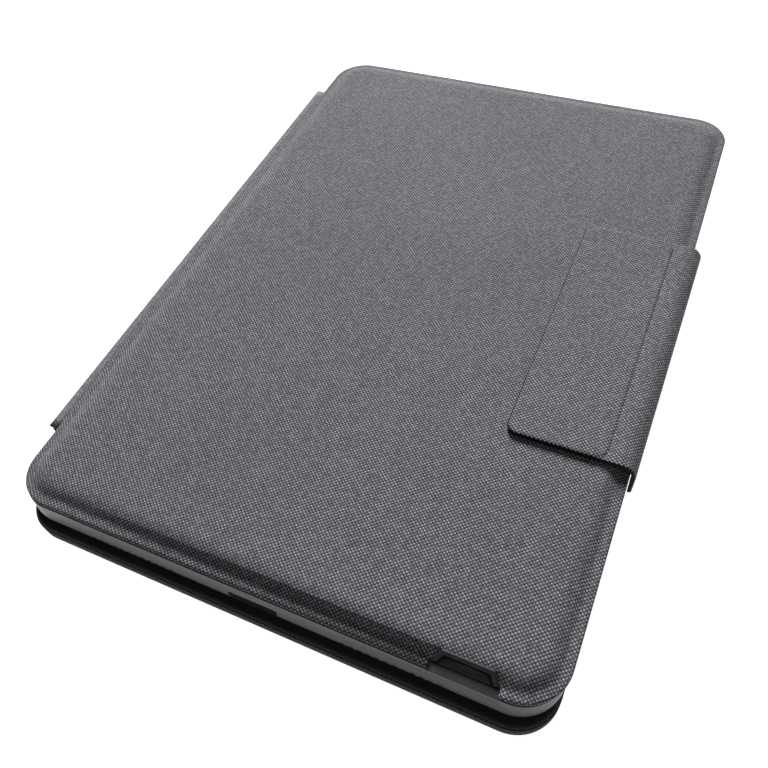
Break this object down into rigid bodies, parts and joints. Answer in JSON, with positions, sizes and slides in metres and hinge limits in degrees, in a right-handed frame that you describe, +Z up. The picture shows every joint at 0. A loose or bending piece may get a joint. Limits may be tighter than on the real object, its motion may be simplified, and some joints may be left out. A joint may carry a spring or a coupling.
{
  "type": "tablet keyboard case",
  "caption": "Closed folio case for a tablet: fabric-covered lid with a moulded tray, living-hinge spine, magnetic closure flap and a flat keyboard with a touchpad in the lower half.",
  "frame": {"origin": "on the table, under the middle of the closed case", "axes": "+Z up, +Y along the long side, +X from the spine towards the closure flap"},
  "size_m": [0.1904, 0.268, 0.0234],
  "materials": {
    "cover_weave": "plain weave",
    "flap_weave": "plain weave",
    "spine_weave": "plain weave",
    "base_weave": "plain weave",
    "lining": "smooth microfibre",
    "foam": "closed-cell foam",
    "stiff_board": "plain board",
    "tray_plastic": "fine matte",
    "surround_plastic": "satin",
    "button_plastic": "satin",
    "frame_plastic": "soft-touch",
    "deck_plastic": "fine matte",
    "keycap_plastic": "fine matte",
    "touchpad_surface": "smooth satin",
    "rubber": "matte",
    "dome_rubber": "milky silicone",
    "steel": "plated",
    "film": "printed film",
    "circuit_board": "solder mask",
    "flat_cable": "polyimide film",
    "battery_pouch": "pouch foil",
    "light_lens": "frosted lens"
  },
  "bodies": {
    "base": {"base_fabric": "base_weave", "base_board": "stiff_board", "base_frame": "frame_plastic", "keyboard_deck": "deck_plastic", "key_support_plate": "steel", "membrane_circuit": "film", "rubber_domes": "dome_rubber", "scissor_links": "film", "main_board": "circuit_board", "ribbon_cable": "flat_cable", "battery_cells": "battery_pouch", "charging_port": "steel", "status_lights": "light_lens", "deck_magnets": "steel", "deck_screws": "steel", "rubber_feet": "rubber", "touchpad_switch": "steel", "lower_hinge_cloth": "spine_weave"},
    "spine": {"spine_fabric": "spine_weave", "spine_board": "stiff_board", "spine_lining": "lining", "upper_hinge_cloth": "spine_weave"},
    "cover": {"cover_fabric": "cover_weave", "cover_board": "stiff_board", "cover_foam": "foam", "cover_magnets": "steel", "tablet_tray": "tray_plastic", "tray_corners": "tray_plastic", "tray_lining": "lining", "button_surround": "surround_plastic", "flap_face_fabric": "flap_weave", "flap_face_board": "stiff_board"},
    "flap": {"flap_side_fabric": "flap_weave", "flap_side_board": "stiff_board", "flap_side_lining": "lining", "flap_magnets": "steel", "flap_hinge_cloth": "flap_weave"},
    "power_button": {"power_button_cover": "button_plastic"},
    "power_switch": {"power_switch_knob": "button_plastic"},
    "touchpad": {"touchpad": "touchpad_surface"},
    "escape_key": {"escape_key": "keycap_plastic"},
    "function_keys": {"function_keys": "keycap_plastic"},
    "number_keys": {"number_keys": "keycap_plastic"},
    "backspace_key": {"backspace_key": "keycap_plastic"},
    "tab_key": {"tab_key": "keycap_plastic"},
    "upper_letter_keys": {"upper_letter_keys": "keycap_plastic"},
    "backslash_key": {"backslash_key": "keycap_plastic"},
    "caps_lock_key": {"caps_lock_key": "keycap_plastic"},
    "home_letter_keys": {"home_letter_keys": "keycap_plastic"},
    "return_key": {"return_key": "keycap_plastic"},
    "left_shift_key": {"left_shift_key": "keycap_plastic"},
    "lower_letter_keys": {"lower_letter_keys": "keycap_plastic"},
    "right_shift_key": {"right_shift_key": "keycap_plastic"},
    "modifier_keys": {"modifier_keys": "keycap_plastic"},
    "space_bar": {"space_bar": "keycap_plastic"},
    "left_arrow_key": {"left_arrow_key": "keycap_plastic"},
    "up_arrow_key": {"up_arrow_key": "keycap_plastic"},
    "down_arrow_key": {"down_arrow_key": "keycap_plastic"},
    "right_arrow_key": {"right_arrow_key": "keycap_plastic"}
  },
  "joints": [
    {"name": "spine_hinge", "type": "hinge", "parent": "base", "child": "spine", "pos_m": [-0.09465, 0, 0.0027], "axis": [0, -1, 0], "range_deg": [0, 90], "deforming": ["lower_hinge_cloth"]},
    {"name": "cover_hinge", "type": "hinge", "parent": "spine", "child": "cover", "pos_m": [-0.09335, 0, 0.0172], "axis": [0, -1, 0], "range_deg": [0, 90], "deforming": ["upper_hinge_cloth"]},
    {"name": "flap_hinge", "type": "hinge", "parent": "cover", "child": "flap", "pos_m": [0.09405, -0.004, 0.0223], "axis": [0, -1, 0], "range_deg": [0, 170], "deforming": ["flap_hinge_cloth"]},
    {"name": "power_button_press", "type": "slide", "parent": "cover", "child": "power_button", "axis": [0, 0.6542, -0.7564], "range_m": [0, 0.0008], "stiffness_N_per_m": 1500},
    {"name": "power_switch_slide", "type": "slide", "parent": "base", "child": "power_switch", "axis": [1, 0, 0], "range_m": [0, 0.0025]},
    {"name": "touchpad_click", "type": "slide", "parent": "base", "child": "touchpad", "axis": [0, 0, -1], "range_m": [0, 0.0004], "stiffness_N_per_m": 3000},
    {"name": "escape_key_press", "type": "slide", "parent": "base", "child": "escape_key", "axis": [0, 0, -1], "range_m": [0, 0.0011], "stiffness_N_per_m": 400, "deforming": ["rubber_domes", "scissor_links"]},
    {"name": "function_keys_press", "type": "slide", "parent": "base", "child": "function_keys", "axis": [0, 0, -1], "range_m": [0, 0.0011], "stiffness_N_per_m": 5600, "deforming": ["rubber_domes", "scissor_links"]},
    {"name": "number_keys_press", "type": "slide", "parent": "base", "child": "number_keys", "axis": [0, 0, -1], "range_m": [0, 0.0011], "stiffness_N_per_m": 5200, "deforming": ["rubber_domes", "scissor_links"]},
    {"name": "backspace_key_press", "type": "slide", "parent": "base", "child": "backspace_key", "axis": [0, 0, -1], "range_m": [0, 0.0011], "stiffness_N_per_m": 400, "deforming": ["rubber_domes", "scissor_links"]},
    {"name": "tab_key_press", "type": "slide", "parent": "base", "child": "tab_key", "axis": [0, 0, -1], "range_m": [0, 0.0011], "stiffness_N_per_m": 400, "deforming": ["rubber_domes", "scissor_links"]},
    {"name": "upper_letter_keys_press", "type": "slide", "parent": "base", "child": "upper_letter_keys", "axis": [0, 0, -1], "range_m": [0, 0.0011], "stiffness_N_per_m": 4800, "deforming": ["rubber_domes", "scissor_links"]},
    {"name": "backslash_key_press", "type": "slide", "parent": "base", "child": "backslash_key", "axis": [0, 0, -1], "range_m": [0, 0.0011], "stiffness_N_per_m": 400, "deforming": ["rubber_domes", "scissor_links"]},
    {"name": "caps_lock_key_press", "type": "slide", "parent": "base", "child": "caps_lock_key", "axis": [0, 0, -1], "range_m": [0, 0.0011], "stiffness_N_per_m": 400, "deforming": ["rubber_domes", "scissor_links"]},
    {"name": "home_letter_keys_press", "type": "slide", "parent": "base", "child": "home_letter_keys", "axis": [0, 0, -1], "range_m": [0, 0.0011], "stiffness_N_per_m": 4400, "deforming": ["rubber_domes", "scissor_links"]},
    {"name": "return_key_press", "type": "slide", "parent": "base", "child": "return_key", "axis": [0, 0, -1], "range_m": [0, 0.0011], "stiffness_N_per_m": 400, "deforming": ["rubber_domes", "scissor_links"]},
    {"name": "left_shift_key_press", "type": "slide", "parent": "base", "child": "left_shift_key", "axis": [0, 0, -1], "range_m": [0, 0.0011], "stiffness_N_per_m": 400, "deforming": ["rubber_domes", "scissor_links"]},
    {"name": "lower_letter_keys_press", "type": "slide", "parent": "base", "child": "lower_letter_keys", "axis": [0, 0, -1], "range_m": [0, 0.0011], "stiffness_N_per_m": 4000, "deforming": ["rubber_domes", "scissor_links"]},
    {"name": "right_shift_key_press", "type": "slide", "parent": "base", "child": "right_shift_key", "axis": [0, 0, -1], "range_m": [0, 0.0011], "stiffness_N_per_m": 400, "deforming": ["rubber_domes", "scissor_links"]},
    {"name": "modifier_keys_press", "type": "slide", "parent": "base", "child": "modifier_keys", "axis": [0, 0, -1], "range_m": [0, 0.0011], "stiffness_N_per_m": 2400, "deforming": ["rubber_domes", "scissor_links"]},
    {"name": "space_bar_press", "type": "slide", "parent": "base", "child": "space_bar", "axis": [0, 0, -1], "range_m": [0, 0.0011], "stiffness_N_per_m": 600, "deforming": ["rubber_domes", "scissor_links"]},
    {"name": "left_arrow_key_press", "type": "slide", "parent": "base", "child": "left_arrow_key", "axis": [0, 0, -1], "range_m": [0, 0.0011], "stiffness_N_per_m": 400, "deforming": ["rubber_domes", "scissor_links"]},
    {"name": "up_arrow_key_press", "type": "slide", "parent": "base", "child": "up_arrow_key", "axis": [0, 0, -1], "range_m": [0, 0.0011], "stiffness_N_per_m": 400, "deforming": ["rubber_domes", "scissor_links"]},
    {"name": "down_arrow_key_press", "type": "slide", "parent": "base", "child": "down_arrow_key", "axis": [0, 0, -1], "range_m": [0, 0.0011], "stiffness_N_per_m": 400, "deforming": ["rubber_domes", "scissor_links"]},
    {"name": "right_arrow_key_press", "type": "slide", "parent": "base", "child": "right_arrow_key", "axis": [0, 0, -1], "range_m": [0, 0.0011], "stiffness_N_per_m": 400, "deforming": ["rubber_domes", "scissor_links"]}
  ]
}
